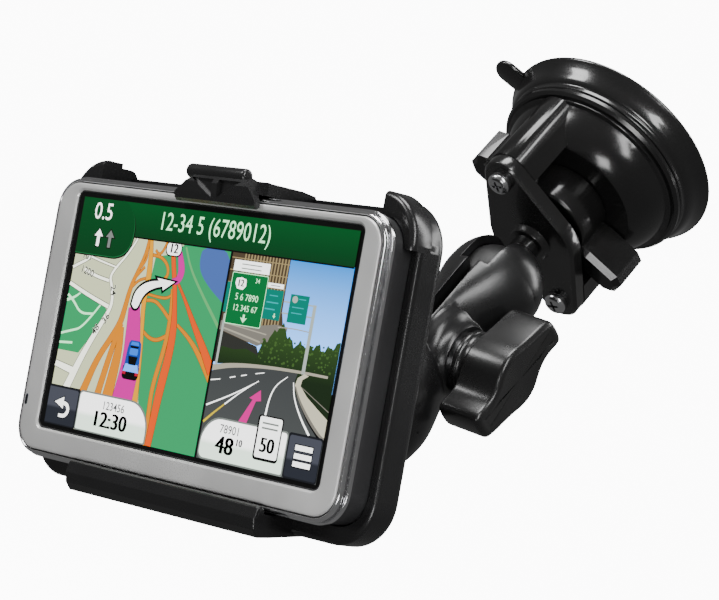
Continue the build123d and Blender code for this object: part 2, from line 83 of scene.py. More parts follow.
class Finish:  # one material, built up by its recipe
    def __init__(self, name, tone, rough, **fixed):
        self.mat = bpy.data.materials.new(name)
        self.mat.use_nodes = True
        self.mat.diffuse_color = (*tone, 1)
        self.tree = self.mat.node_tree
        self.skin = self.tree.nodes["Principled BSDF"]
        self.skin.inputs["Base Color"].default_value = (*tone, 1)
        self.skin.inputs["Roughness"].default_value = rough
        for key, value in fixed.items():
            self.skin.inputs[key.replace("_", " ")].default_value = value

    def node(self, kind, settings=None, inputs=None, out=0):
        made = self.tree.nodes.new(kind)
        for key, value in (settings or {}).items():
            setattr(made, key, value)
        for key, value in (inputs or {}).items():
            feed(self.tree, made.inputs[key], value)
        return Wire(self.tree, made.outputs[out])

    def place(self, stretch=(1, 1, 1)):
        spot = self.node("ShaderNodeTexCoord", out=3)
        return self.node("ShaderNodeMapping", inputs={"Vector": spot, "Scale": stretch})

    def noise(self, scale, detail=3.0, stretch=(1, 1, 1), rough=0.55):
        return self.node("ShaderNodeTexNoise", inputs={
            "Vector": self.place(stretch), "Scale": scale, "Detail": detail, "Roughness": rough})

    def mix(self, share, first, second):
        made = self.tree.nodes.new("ShaderNodeMix")
        made.data_type = "RGBA"
        feed(self.tree, made.inputs[0], share)
        feed(self.tree, made.inputs[6], (*first, 1) if isinstance(first, tuple) else first)
        feed(self.tree, made.inputs[7], (*second, 1) if isinstance(second, tuple) else second)
        return Wire(self.tree, made.outputs[2])

    def limit(self, wire, low, high):
        return self.node("ShaderNodeMapRange", {"clamp": True}, {
            "Value": wire, "From Min": low, "From Max": high})

    def bump(self, height, strength, depth):
        made = self.node("ShaderNodeBump", inputs={
            "Height": height, "Strength": strength, "Distance": depth})
        self.tree.links.new(made.socket, self.skin.inputs["Normal"])

    def put(self, name, wire):
        self.tree.links.new(wire.socket, self.skin.inputs[name])


def moulded(name, tone, rough, grain, depth, haze=0.05, **fixed):
    # moulded plastic: spark-eroded grain, cloudy gloss, a little lighter where it has been handled
    made = Finish(name, tone, rough, **fixed)
    fine = made.noise(grain, 2.0)
    broad = made.noise(55, 4.0)
    wiped = made.limit(made.noise(18, 3.0), 0.42, 0.68)
    pale = tuple(t * 1.7 + 0.004 for t in tone)
    made.put("Base Color", made.mix(wiped * 0.5 + (fine - 0.5) * 0.4, tone, pale))
    made.put("Roughness", rough + (broad - 0.5) * haze * 4 + (fine - 0.5) * haze)
    made.bump(fine + broad * 0.3, 0.35, depth)
    return made.mat


def metal(name, tone, rough, grain, stretch, depth, **fixed):
    # worked metal: lines or grains left by the tool, drifting tint, dull patches
    made = Finish(name, tone, rough, Metallic=1.0, **fixed)
    lines = made.noise(grain, 3.0, stretch)
    broad = made.noise(70, 4.0)
    dark = tuple(t * 0.72 for t in tone)
    made.put("Base Color", made.mix(made.limit(broad, 0.35, 0.7) * 0.6 + lines * 0.2, tone, dark))
    made.put("Roughness", rough + (lines - 0.5) * 0.16 + (broad - 0.5) * 0.12)
    made.bump(lines, 0.25, depth)
    return made.mat


def lit(name, tone, second=None, low=0.0, high=1.0):
    # a lit part of the display under its glass: even light, or a fade between two colours up the screen
    made = Finish(name, (0.005, 0.005, 0.005), 0.3, Specular_IOR_Level=0.12, Emission_Strength=1.0)
    dots = made.noise(5200, 1.0)
    shade = made.mix(dots * 0.08, tone, tuple(t * 0.8 for t in tone))
    if second:
        spot = made.node("ShaderNodeTexCoord", out=3)
        height = made.node("ShaderNodeSeparateXYZ", inputs={"Vector": spot}, out=2)
        rise = made.limit(height, screenCentre[2] + low, screenCentre[2] + high)
        shade = made.mix(rise, tone, second)
    made.put("Emission Color", shade)
    return made.mat


finishes = {
    "case_black": moulded("caseBlack", (0.018, 0.018, 0.019), 0.42, 3200, 0.00003),
    "cradle_black": moulded("cradleBlack", (0.008, 0.008, 0.0083), 0.25, 2600, 0.00002),
    "bridge_black": moulded("bridgeBlack", (0.006, 0.006, 0.006), 0.19, 2400, 0.000015),
    "knob_black": moulded("knobBlack", (0.008, 0.008, 0.008), 0.27, 2400, 0.00002),
    "arm_black": moulded("armBlack", (0.007, 0.007, 0.0072), 0.30, 2200, 0.00002),
    "base_black": moulded("baseBlack", (0.006, 0.006, 0.006), 0.24, 1500, 0.00003, Coat_Weight=0.4),
    "key_black": moulded("keyBlack", (0.02, 0.02, 0.02), 0.25, 3600, 0.00001),
    "ball_rubber": moulded("ballRubber", (0.012, 0.012, 0.012), 0.55, 1800, 0.00004),
    "cup_rubber": moulded("cupRubber", (0.006, 0.006, 0.006), 0.20, 900, 0.00001, Coat_Weight=0.4),
    "bezel_silver": moulded("bezelSilver", (0.62, 0.62, 0.612), 0.34, 5200, 0.000004, 0.02, Metallic=0.45),
    "bright_trim": metal("brightTrim", (0.78, 0.78, 0.79), 0.12, 900, (1, 1, 8), 0.000004),
    "steel": metal("steel", (0.62, 0.62, 0.63), 0.24, 1500, (1, 1, 1), 0.00001),
    "tin": metal("tin", (0.6, 0.6, 0.58), 0.35, 1200, (6, 1, 1), 0.00001),
    "brass": metal("brass", (0.72, 0.5, 0.2), 0.3, 1500, (1, 1, 6), 0.00001),
    "panel": moulded("panel", (0.4, 0.4, 0.42), 0.3, 900, 0.00001),
    "board_green": moulded("boardGreen", (0.01, 0.12, 0.05), 0.35, 700, 0.00004),
    "battery_wrap": moulded("batteryWrap", (0.2, 0.21, 0.24), 0.3, 500, 0.00003),
    "ceramic": moulded("ceramic", (0.7, 0.66, 0.58), 0.5, 1500, 0.00003),
    "copper_flex": moulded("copperFlex", (0.5, 0.24, 0.05), 0.35, 800, 0.00002),
    "screen_glass": moulded("screenGlass", (0.004, 0.004, 0.0045), 0.08, 400, 0.000001, haze=0.01),
}
for part in frame["record"]["subparts"]:
    node = nodes[part["node"]]
    node.data.materials.clear()
    node.data.materials.append(finishes[part["material_slot"]])
print("finishes made")


# stage, camera and lights

studio = {"floorDrop": 0.26, "floorAhead": 14.0, "floorAside": 14.0, "wallBehind": 1.6, "curve": 0.6,
          "wallTop": 3.0, "white": 11.0, "air": 0.16}


def makeStage():
    # a floor that curves up into a wall behind the object: a quarter circle between two straight runs
    along = np.linspace(0, 1, 60)
    back = np.array([-0.6947, 0.7188])
    side = np.array([0.7188, 0.6947])
    run = np.concatenate([np.linspace(-studio["floorAhead"], studio["wallBehind"], 20),
                          studio["wallBehind"] + studio["curve"] * np.sin(along * np.pi / 2),
                          np.full(20, studio["wallBehind"] + studio["curve"])])
    rise = np.concatenate([np.zeros(20), studio["curve"] * (1 - np.cos(along * np.pi / 2)),
                           np.linspace(studio["curve"] + 0.02, studio["wallTop"], 20)]) - studio["floorDrop"]
    wide = np.linspace(-studio["floorAside"], studio["floorAside"], 9)
    flat = back[None, None] * run[:, None, None] + side[None, None] * wide[None, :, None]
    points = np.dstack([flat, np.repeat(rise[:, None], 9, 1)])
    floor = gridMesh("floor", points)
    paper = Finish("paper", (0.9, 0.9, 0.9), 0.9)
    paper.skin.inputs["Emission Strength"].default_value = studio["white"]
    paper.skin.inputs["Emission Color"].default_value = (1, 1, 1, 1)
    floor.data.materials.append(paper.mat)
    floor.visible_diffuse = False  # the paper is lit for the camera alone
    floor.visible_glossy = False
    floor.visible_shadow = False  # the low light reaches the object from below it


def makeMesh(name, points, faces, smooth=True):
    mesh = bpy.data.meshes.new(name)
    mesh.from_pydata(np.asarray(points).reshape(-1, 3).tolist(), [], [tuple(f) for f in faces])
    mesh.validate()
    mesh.polygons.foreach_set("use_smooth", np.full(len(mesh.polygons), smooth))
    made = bpy.data.objects.new(name, mesh)
    bpy.context.scene.collection.objects.link(made)
    return made


def gridFaces(rows, columns, closedRows=False, closedColumns=False):
    # faces between neighbours of a grid of points, joined end to end where it is closed
    r = np.arange(rows if closedRows else rows - 1)
    c = np.arange(columns if closedColumns else columns - 1)
    i, j = [g.ravel() for g in np.meshgrid(r, c, indexing="ij")]
    k, m = (i + 1) % rows, (j + 1) % columns
    return np.stack([i * columns + j, i * columns + m, k * columns + m, k * columns + j], 1)


def gridMesh(name, points, closedRows=False, closedColumns=False, smooth=True):
    rows, columns = points.shape[:2]
    return makeMesh(name, points, gridFaces(rows, columns, closedRows, closedColumns).tolist(), smooth)


def addLight(name, spot, aim, size, power, tall=None):
    lamp = bpy.data.lights.new(name, "AREA")
    lamp.shape = "RECTANGLE"
    lamp.size = size
    lamp.size_y = tall or size
    lamp.energy = power
    made = bpy.data.objects.new(name, lamp)
    made.location = spot
    made.rotation_euler = (Vector(aim) - Vector(spot)).to_track_quat("-Z", "Y").to_euler()
    bpy.context.scene.collection.objects.link(made)


camera = bpy.data.objects.new("camera", bpy.data.cameras.new("camera"))
camera.data.lens = 120.17
camera.data.sensor_width = 36.0
camera.matrix_world = Matrix(((0.710971, -0.108866, 0.694743, 0.48446),
                              (0.680584, -0.142126, -0.718753, -0.60277),
                              (0.176989, 0.983844, -0.026955, -0.08275),
                              (0, 0, 0, 1)))
bpy.context.scene.collection.objects.link(camera)
bpy.context.scene.camera = camera

makeStage()
world = bpy.data.worlds.new("air")
bpy.context.scene.world = world
world.use_nodes = True
world.node_tree.nodes["Background"].inputs["Color"].default_value = (1, 1, 1, 1)
world.node_tree.nodes["Background"].inputs["Strength"].default_value = studio["air"]
target = (-0.01, -0.08, -0.07)
addLight("above", (0.0, -0.25, 0.95), target, 0.45, 10)
addLight("left", (-0.55, -1.1, 0.85), target, 0.45, 13)
addLight("right", (1.0, -0.45, 0.45), target, 0.22, 11, 0.9)
addLight("rim", (0.45, 0.8, 0.45), target, 0.25, 6, 0.8)
addLight("low", (0.6, -0.9, -0.45), target, 0.3, 4)
print("stage set")


# the lit display
# Shapes are drawn in millimetres from the middle of the navigator's face, x to the right and y up.

display = {"glass": -0.86, "step": 0.012, "left": -57.6, "right": 60.2, "low": -32.6, "high": 37.0,
           "split": 11.5, "barLow": 27.0}


def softened(points, times=3):
    # corner cutting: each pass puts two points a quarter in from the ends of every leg
    path = np.asarray(points, float)
    for _ in range(times):
        pair = np.stack([path[:-1] * 0.75 + path[1:] * 0.25, path[:-1] * 0.25 + path[1:] * 0.75], 1)
        path = np.vstack([path[:1], pair.reshape(-1, path.shape[1]), path[-1:]])
    return path


def ribbon(points, grow=0.0, times=3):
    # a band along a path of (x, y, width): half a width to each side along the path's normal
    path = softened(points, times)
    way = np.gradient(path[:, :2], axis=0)
    way /= np.linalg.norm(way, axis=1, keepdims=True)
    across = np.stack([-way[:, 1], way[:, 0]], 1) * (path[:, 2:3] / 2 + grow)
    return np.vstack([path[:, :2] + across, (path[:, :2] - across)[::-1]])


def panel(x0, x1, y0, y1, corners=(0, 0, 0, 0)):
    # a rectangle with a quarter circle at each corner, from the lower left one anticlockwise
    out = []
    for (x, y, start), r in zip(((x0, y0, 180), (x1, y0, 270), (x1, y1, 0), (x0, y1, 90)), corners):
        turn = np.radians(start + np.linspace(0, 90, 9 if r else 1))
        inX = x0 + r if x == x0 else x1 - r
        inY = y0 + r if y == y0 else y1 - r
        arc = np.stack([inX + r * np.cos(turn), inY + r * np.sin(turn)], 1)
        out.append(arc if r else np.array([[x, y]]))
    return np.vstack(out)


def grown(shape, by):
    # an outline moved outwards by the mean of its neighbours' normals
    shape = anticlockwise(shape)
    legs = np.roll(shape, -1, 0) - shape
    legs /= np.linalg.norm(legs, axis=1, keepdims=True) + 1e-12
    normal = np.stack([legs[:, 1], -legs[:, 0]], 1)
    both = normal + np.roll(normal, 1, 0)
    both /= np.maximum((both ** 2).sum(1, keepdims=True), 0.6) / 2
    return shape + both * by


def anticlockwise(shape):
    shape = np.asarray(shape, float)[:, :2]
    x, y = shape.T
    turning = (x * np.roll(y, -1) - np.roll(x, -1) * y).sum()
    return shape if turning > 0 else shape[::-1]


def onFace(flat, height):
    # screen millimetres to the row frame in metres
    flat = np.asarray(flat, float)
    return screenCentre + np.stack([flat[:, 0], np.full(len(flat), -float(height)), flat[:, 1]], 1) / 1000


def layer(name, level, finish, shapes):
    points, faces = [], []
    for shape in shapes:
        start = sum(len(p) for p in points)
        points.append(onFace(anticlockwise(shape), display["glass"] + level * display["step"]))
        faces.append(tuple(range(start, start + len(shape))))
    made = makeMesh(name, np.vstack(points), faces, smooth=False)
    made.data.materials.append(finish)
    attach(made, "cradle")
    return made


def digits(name, level, finish, words, size, x, y, turn=0.0, fat=0.0, wide=1.0):
    # numbers set in the plain face, turned to flat mesh, then carried to the screen
    curve = bpy.data.curves.new(name, "FONT")
    curve.body = words
    curve.size = size
    curve.offset = fat
    curve.align_x = "CENTER"
    curve.align_y = "CENTER"
    curve.resolution_u = 3
    source = bpy.data.objects.new(name + ".text", curve)
    bpy.context.scene.collection.objects.link(source)
    bpy.context.view_layer.update()
    mesh = bpy.data.meshes.new_from_object(source.evaluated_get(bpy.context.evaluated_depsgraph_get()))
    bpy.data.objects.remove(source)
    flat = np.zeros(len(mesh.vertices) * 3)
    mesh.vertices.foreach_get("co", flat)
    flat = flat.reshape(-1, 3)[:, :2] * (wide, 1)
    c, s = math.cos(math.radians(turn)), math.sin(math.radians(turn))
    flat = flat @ np.array(((c, s), (-s, c))) + (x, y)
    spot = onFace(flat, display["glass"] + level * display["step"])
    mesh.vertices.foreach_set("co", spot.ravel())
    mesh.update()
    made = bpy.data.objects.new(name, mesh)
    bpy.context.scene.collection.objects.link(made)
    made.data.materials.clear()
    made.data.materials.append(finish)
    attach(made, "cradle")
    return made


def bold(name, level, finish, words, size, x, y, spread, **more):
    # the same numbers three times, a little apart along the line
    for key, shift in (("a", -spread), ("b", 0.0), ("c", spread)):
        digits(name + "." + key, level, finish, words, size, x + shift, y, **more)


# light of each display colour; a second colour fades in between two heights
inkLight = {
    "black": ((0.001, 0.001, 0.001),),
    "white": ((2.6, 2.65, 2.6),),
    "paleGreen": ((1.0, 2.2, 1.2),),
    "land": ((1.03, 1.11, 0.682),),
    "street": ((2.3, 2.35, 2.0),),
    "kerb": ((0.12, 0.12, 0.09),),
    "park": ((0.02, 0.5, 0.16),),
    "parkLine": ((0.16, 0.66, 0.21),),
    "lake": ((0.0875, 0.184, 0.592),),
    "orange": ((1.15, 0.36, 0.0),),
    "orangeEdge": ((0.36, 0.085, 0.0),),
    "amber": ((1.35, 0.56, 0.0),),
    "flame": ((1.3, 0.13, 0.0),),
    "flameEdge": ((0.3, 0.03, 0.0),),
    "route": ((1.0, 0.0, 0.5),),
    "routeEdge": ((0.343, 0.0259, 0.241),),
    "bar": ((0.0001, 0.0595, 0.0116), (0.0001, 0.111, 0.0195), 0.0268, 0.0372),
    "lane": ((0.0001, 0.0645, 0.012), (0.0001, 0.0908, 0.0166), 0.0200, 0.0370),
    "laneEdge": ((0.0166, 0.212, 0.0585),),
    "grey": ((0.274, 0.313, 0.286),),
    "small": ((0.09, 0.1, 0.095),),
    "slate": ((0.0259, 0.03, 0.0435), (0.08, 0.0866, 0.116), -0.0276, -0.0268),
    "slateEdge": ((0.011, 0.0125, 0.0176),),
    "field": ((1.7, 2.1, 1.75), (2.9, 2.9, 2.9), -0.0280, -0.0266),
    "carDark": ((0.0131, 0.0817, 0.543),),
    "carLight": ((0.02, 0.3, 1.4),),
    "carPale": ((0.2, 0.8, 2.4),),
    "red": ((0.692, 0.0, 0.0454),),
    "sky": ((0.5, 1.3, 3.0), (0.02, 0.42, 1.35), 0.002, 0.027),
    "tower": ((0.0968, 0.066, 0.0364),),
    "towerLine": ((0.498, 0.379, 0.175),),
    "sign": ((0.0014, 0.207, 0.0487),),
    "teal": ((0.0, 0.271, 0.199),),
    "tealPale": ((0.0001, 0.607, 0.627),),
    "pole": ((0.604, 0.697, 0.64),),
    "deck": ((0.278, 0.26, 0.22),),
    "deckPale": ((0.592, 0.551, 0.429),),
    "shade": ((0.0358, 0.0376, 0.0316),),
    "leaf": ((0.0107, 0.0283, 0.0082), (0.04, 0.1, 0.0208), -0.006, 0.006),
    "leafPale": ((0.0704, 0.16, 0.0338),),
    "road": ((0.0984, 0.107, 0.105), (0.0703, 0.0772, 0.0792), -0.030, -0.006),
    "rail": ((0.955, 0.902, 0.659),),
    "yellow": ((1.1, 0.8, 0.01),),
    "pink": ((1.1, 0.0, 0.42),),
}
inks = {key: lit("ink" + key[0].upper() + key[1:], *light) for key, light in inkLight.items()}


def drawDisplay():
    d = display
    left, right, low, high, split, bar = (d[k] for k in ("left", "right", "low", "high", "split", "barLow"))
    layer("display.black", 0, inks["black"], [panel(-60.2, 61.4, -33.8, 38.4, (2, 2, 2, 2))])

    # map: land, parks and lake
    layer("map.land", 1, inks["land"], [panel(left, split, low, bar)])
    layer("map.park", 2, inks["park"], [
        [(-22.8, 9), (-20.5, -2), (-17.4, -20), (-12.5, low), (split, low), (split, bar), (-9, bar),
         (-12.2, 24.2), (-16, 23), (-21, 22), (-21.6, 14)],
        [(left, 9.6), (-40, 5.2), (-37.6, 3.4), (-42.8, -3.6), (-48, -10), (left, -10)]])
    layer("map.lake", 3, inks["lake"], [softened(
        [(split, 11.4), (split, bar), (-1.2, bar), (-1.9, 23), (-0.6, 19.2), (4.5, 15.2), (split, 11.4)], 2)])
    layer("map.parkPath", 3, inks["parkLine"], [ribbon(
        [(-8.5, 26, 0.7), (-5, 20, 0.8), (2, 13, 0.9), (7, 8.4, 1.0), (11.3, 4.4, 1.1)])])
    walks = [[(left, -5, 0.7), (-53, -3.7, 0.7), (-49, -2.6, 0.7), (-44.5, 2, 0.7), (-41.2, 6, 0.6)],
             [(left, 6.9, 0.8), (-54.4, 5.2, 0.8), (-50.4, 1.8, 0.7), (-44.6, 2.3, 0.7)],
             [(left, 5.2, 0.9), (-54.5, 6.2, 0.8), (-51.5, 8.2, 0.5)],
             [(left, -7.8, 0.7), (-51.6, -7.3, 0.7)]]
    layer("map.walks", 4, inks["paleGreen"], [ribbon(w) for w in walks])

    # streets: a grey kerb under a white band
    streets = [[(left, 10.4, 1.1), (-48, 7.6, 1.1), (-38, 5.2, 1.2)],
               [(-50.9, -21.5, 3.0), (-45.2, -8.8, 2.2), (-38.4, 2.2, 1.5), (-36.4, 6.5, 1.2),
                (-38.2, 11.6, 1.1),
                (-39.8, 14.2, 0.9), (-37.3, 17.6, 0.8), (-34, 21, 0.7), (-30.6, 25.8, 0.6), (-30.2, bar, 0.6)],
               [(left, -14.2, 1.7), (-49, -15.6, 2.1)],
               [(left, 15.3, 0.9), (-55, 16.6, 0.9), (-51, 18.4, 0.8), (-50, 19.9, 0.8)],
               [(-53, 19.8, 0.5), (-45, 18.3, 0.6), (-37.6, 17.2, 0.5)],
               [(-52, 15.2, 0.9), (-46, 13.6, 0.9), (-39.9, 12.9, 0.9)]]
    layer("map.kerbs", 5, inks["kerb"], [ribbon(s, 0.22) for s in streets])
    layer("map.streets", 6, inks["street"], [ribbon(s) for s in streets])

    # highways, a darker edge under each
    orange = [[(-25, bar, 0.9), (-25.6, 22, 1.0), (-27.6, 17, 1.2), (-29.6, 12, 1.5), (-30.4, 6, 1.8),
               (-31.2, 1, 2.3), (-34.4, -4, 2.0), (-39, -11, 2.2), (-42.8, -21.4, 2.9)],
              [(-30.8, 1, 1.8), (-32.8, -6, 2.0), (-35.8, -21, 2.6)],
              [(-30.2, 0, 1.6), (-29.8, -8, 3.4), (-31.2, -21, 4.4)],
              [(-28.6, 14.6, 0.7), (-27, 16.4, 0.7), (-24.8, 18.6, 0.7)],
              [(-28.9, 12.2, 0.7), (-26.6, 14.4, 0.7), (-23.6, 15.3, 0.7)],
              [(-26.6, 18.2, 0.6), (-24.6, 21, 0.7), (-25, 24, 0.6), (-24.4, bar, 0.6)],
              [(-22.4, 22.4, 0.8), (-18.2, 22.2, 0.8), (-14.9, 20, 0.9), (-14.1, 17.2, 0.9),
               (-15.8, 15.6, 0.9)],
              [(-21.4, 24, 0.6), (-19.6, 22.6, 0.7), (-18, 24, 0.7), (-16.8, bar, 0.6)],
              [(-22.4, 8.8, 0.8), (-18, 9.4, 0.9), (-14.4, 7.6, 0.9), (-9.8, 4.4, 1.1)],
              [(-22.4, 10.9, 0.6), (-17, 10.4, 0.7), (-12.6, 10.4, 0.7), (-10.4, 12.2, 0.7)],
              [(-20.9, 0, 0.9), (-17.6, -1.8, 0.9), (-14, -2.2, 1.0), (-10.2, -0.4, 1.1)],
              [(-11.2, 13.4, 0.9), (-10.2, 8, 1.1), (-9.7, 2, 1.5), (-10, -4, 1.6), (-12, -14, 1.5),
               (-12.1, -20, 1.5), (-10.8, low, 1.6)],
              [(-6.4, 3.4, 0.8), (0, 0, 1.2), (5, -4, 1.6), (split, -10.4, 2.2)]]
    layer("map.highwayEdges", 7, inks["orangeEdge"], [ribbon(o, 0.16) for o in orange])
    layer("map.highways", 8, inks["orange"], [ribbon(o) for o in orange])
    flame = [[(-13.4, 23.4, 1.5), (-12, 19, 1.7), (-10.2, 14, 1.6), (-8.7, 8, 1.7), (-7.5, 2, 2.7),
              (-7.5, -6, 3.0),
              (-8.5, -14, 3.2), (-9.1, -22, 2.9), (-9.6, low, 2.5)],
             [(-9.4, 15.6, 0.7), (-5, 11, 0.9), (0, 5, 1.7), (6, -1.6, 2.5), (split, -8.2, 3.2)]]
    layer("map.mainEdges", 9, inks["flameEdge"], [ribbon(f, 0.16) for f in flame])
    layer("map.mainRoads", 10, inks["flame"], [ribbon(f) for f in flame])
    amber = [[(-24, bar, 1.3), (-23.2, 23, 1.6), (-22.3, 16, 2.2), (-22.6, 8, 1.7), (-21.5, 2, 1.5),
              (-20, -6, 1.4),
              (-18.6, -21, 2.3)]]
    layer("map.amberEdge", 9, inks["orangeEdge"], [ribbon(a, 0.16) for a in amber])
    layer("map.amber", 10, inks["amber"], [ribbon(a) for a in amber])

    # the route, the car on it and the next turn
    route = [[(-24.4, -21.4, 8.8), (-23.3, -10, 7.7), (-25.0, 0, 6.1), (-26.3, 6.5, 4.8)],
             [(-10.7, 24.4, 1.5), (-9.2, 21, 2.4), (-8.4, 18.4, 2.6), (-9.4, 15.9, 2.2), (-12, 15.6, 1.4)]]
    layer("map.routeEdge", 11, inks["routeEdge"], [ribbon(r, 0.14) for r in route])
    layer("map.route", 12, inks["route"], [ribbon(r) for r in route])
    turnArrow = softened([(-27.7, 7.2), (-27.2, 10.8), (-24.4, 13.4), (-20.8, 14.7), (-17.5, 15.1)], 2)
    turnArrow = np.vstack([turnArrow, [(-18.3, 15.9), (-10.6, 15.5), (-15.1, 12.6), (-15.6, 13.7)],
                           softened([(-18.2, 13.1), (-21.4, 11.8), (-23.5, 9.8), (-24.6, 7.0)], 2),
                           softened([(-24.6, 7.0), (-25.1, 6.1), (-26.6, 6.0), (-27.7, 7.2)], 2)[1:-1]])
    layer("map.turnBack", 13, inks["black"], [grown(turnArrow, 0.75)])
    layer("map.turn", 14, inks["white"], [turnArrow])
    layer("car.shadow", 13, inks["black"], [panel(-26.5, -19.2, -14.9, -11, (1.4, 1.4, 0, 0))])
    layer("car.body", 14, inks["carDark"], [
        [(-26.2, -12.6), (-25.9, -6), (-25.5, -4), (-24.8, -3.3), (-20.9, -3.3), (-20.2, -4), (-19.8, -6),
         (-19.3, -12.6)]])
    layer("car.boot", 15, inks["carPale"], [[(-26.3, -12.6), (-25.6, -10.3), (-20.2, -10.3), (-19.3, -12.6)]])
    layer("car.roof", 15, inks["carLight"], [panel(-24.7, -21.0, -7.6, -5.4, (0.5, 0.5, 0.8, 0.8))])
    layer("car.bonnet", 15, inks["carLight"], [[(-24.8, -4.7), (-24.4, -3.7), (-21.4, -3.7), (-20.9, -4.7)]])
    layer("car.windows", 16, inks["black"], [
        [(-24.9, -8.0), (-20.7, -8.0), (-21.2, -10.5), (-24.3, -10.5)],
        [(-24.9, -4.9), (-20.8, -4.9), (-21.3, -5.6), (-24.4, -5.6)]])
    layer("car.lamps", 16, inks["red"], [panel(-26.4, -24.9, -13.5, -12.6), panel(-20.7, -19.3, -13.5, -12.6)])
    layer("map.shieldEdge", 13, inks["black"], [panel(-17.0, -9.9, 22.7, 27.2, (2, 2, 2, 2))])
    layer("map.shield", 14, inks["white"], [panel(-16.6, -10.3, 23.1, 26.9, (1.8, 1.8, 1.6, 1.6))])
    bold("map.shieldNumber", 15, inks["black"], "12", 3.9, -13.5, 25.0, 0.16)
    for name, number, x, y, turn in (("a", "1200", -50.4, 14.6, -11), ("b", "24", -37.0, 10.2, -72),
                                     ("c", "36", -38.0, 1.6, 58), ("d", "48", -41.8, -2.2, 58),
                                     ("e", "101", -51.6, 19.2, -8)):
        digits("map.labelHalo." + name, 15, inks["street"], number, 3.2, x, y, turn, fat=0.09)
        digits("map.label." + name, 16, inks["shade"], number, 3.2, x, y, turn, fat=0.045)

    # junction view: sky, tower, trees, road
    layer("view.sky", 15, inks["sky"], [panel(split, right, -8, bar)])
    layer("view.tower", 16, inks["tower"], [[(split, 2), (37.5, 2), (36.6, 9), (35.6, 12), (35.4, bar),
                                             (split, bar)]])
    columns = np.linspace(17.2, 34.8, 15)
    layer("view.towerLines", 17, inks["towerLine"], [panel(x - 0.28, x + 0.24, 7, bar) for x in columns]
          + [panel(split, 35.4, y, y + 0.25) for y in (18, 21.5, 25)])
    layer("view.deckFar", 18, inks["deck"], [[(split, 6.9), (28, 7.2), (34, 8.2), (38.8, 8.0), (38.8, 6.8),
                                              (34, 3.8),
                                            (28, 1.4), (split, 4.4)]])
    layer("view.deckLines", 19, inks["deckPale"], [ribbon([(13.4, 4.9, 0.5), (22, 3.7, 0.5), (29, 2.6, 0.5)]),
                                                  ribbon([(13.4, 6.4, 0.35), (24, 5.6, 0.35), (31, 5.0, 0.35)]),
                                                  ribbon([(35, 7.6, 0.3), (41, 7.9, 0.3), (48, 7.6, 0.3)])])
    layer("view.underDeck", 18, inks["shade"], [[(split, 4.2), (28, 1.3), (30, -2), (28, -4.2), (split, -5)]])
    ridge = np.linspace(28.5, right, 64)
    bumps = (4.6 + 1.0 * np.sin(ridge * 0.55) + 0.8 * np.sin(ridge * 1.7 + 1) + 0.35 * np.sin(ridge * 4.1)
             + 2.6 * np.exp(-((ridge - 36.5) / 3.2) ** 2) - 1.9 * np.exp(-((ridge - 48.5) / 2.2) ** 2))
    bumps[:4] = (-2.5, -0.2, 1.2, 2.4)
    layer("view.trees", 19, inks["leaf"], [np.vstack([np.stack([ridge, bumps], 1), [(right, -16), (28.5, -8)]]),
                                         [(12.6, -5.4), (28.6, -3.6), (28.6, -1.0), (24, 0.2), (19, -0.6),
                                          (14, -0.2)]])
    spread = np.random.default_rng(7)
    tufts = []
    for x, y, r in zip(spread.uniform(29.5, 59.6, 120), spread.uniform(-2.6, 4.6, 120),
                       spread.uniform(0.12, 0.42, 120)):
        turn = np.linspace(0, 2 * np.pi, 7)[:-1] + x
        tufts.append(np.stack([x + r * 1.3 * np.cos(turn), y + r * np.sin(turn)], 1))
    layer("view.treeLights", 20, inks["leafPale"], tufts)
    layer("view.road", 21, inks["road"], [[(split, low), (split, -7.6), (20, -5.4), (33, -4.2), (46, -4.0),
                                           (45.4, -6),
                                         (46.4, -9.5), (52.6, -16.4), (58, -20.6), (right, -21), (right, low)]])
    layer("view.kerbLeft", 22, inks["deckPale"], [ribbon([(split, -6.7, 1.7), (20, -4.9, 1.3), (33, -3.8, 0.9),
                                                        (47, -3.5, 0.8), (57.6, -3.6, 0.7)])])
    layer("view.barrier", 23, inks["rail"], [[(50.4, -4.2), (48.2, -5.5), (47.9, -7.2), (51, -9.8),
                                              (55.6, -12.4),
                                            (right, -14.9), (right, -19.8), (57.4, -19.4), (52.4, -15.2),
                                            (47.4, -10.2), (45.7, -7.4), (46.3, -5.2), (48.6, -3.8)]])
    layer("view.barrierShade", 24, inks["deck"], [ribbon([(46.0, -7.6, 0.5), (48.2, -11, 0.7), (53, -15.6, 0.9),
                                                        (58, -19.4, 0.9), (right, -20.2, 0.5)]),
                                                 ribbon([(48.6, -7.6, 0.22), (54, -10.0, 0.25),
                                                         (right, -12.8, 0.3)])])
    lines = [[(12.0, -17.4, 0.5), (22, -13.1, 0.4), (31.4, -8.1, 0.22)],
             [(19.4, -16.2, 0.45), (25, -12, 0.35), (31.4, -8.0, 0.22)],
             [(12, -10.2, 0.3), (15.8, -9.5, 0.3)], [(19.6, -8.6, 0.3), (21.8, -8.0, 0.3)],
             [(24, -7.5, 0.3), (26.2, -7.0, 0.26)], [(29.6, -6.2, 0.24), (33, -5.5, 0.22)],
             [(36.3, -17.6, 0.75), (36.7, -12, 0.55), (38.4, -8.2, 0.36), (42.4, -5.4, 0.22)],
             [(45.0, -6.6, 0.3), (46.2, -10.8, 0.42), (50, -15.8, 0.55), (54.4, -20, 0.7)]]
    layer("view.laneLines", 22, inks["white"], [ribbon(s) for s in lines])
    layer("view.yellowLine", 22, inks["yellow"], [ribbon([(12, -22.2, 0.75), (15.6, -19.1, 0.6),
                                                          (19.3, -16.3, 0.45)])])
    layer("view.wayArrow", 23, inks["pink"], [[(25.4, -21.4), (29.0, -21.4), (31.7, -13.7), (33.7, -13.4),
                                             (32.9, -10.4), (28.9, -13.1), (30.3, -13.4)]])

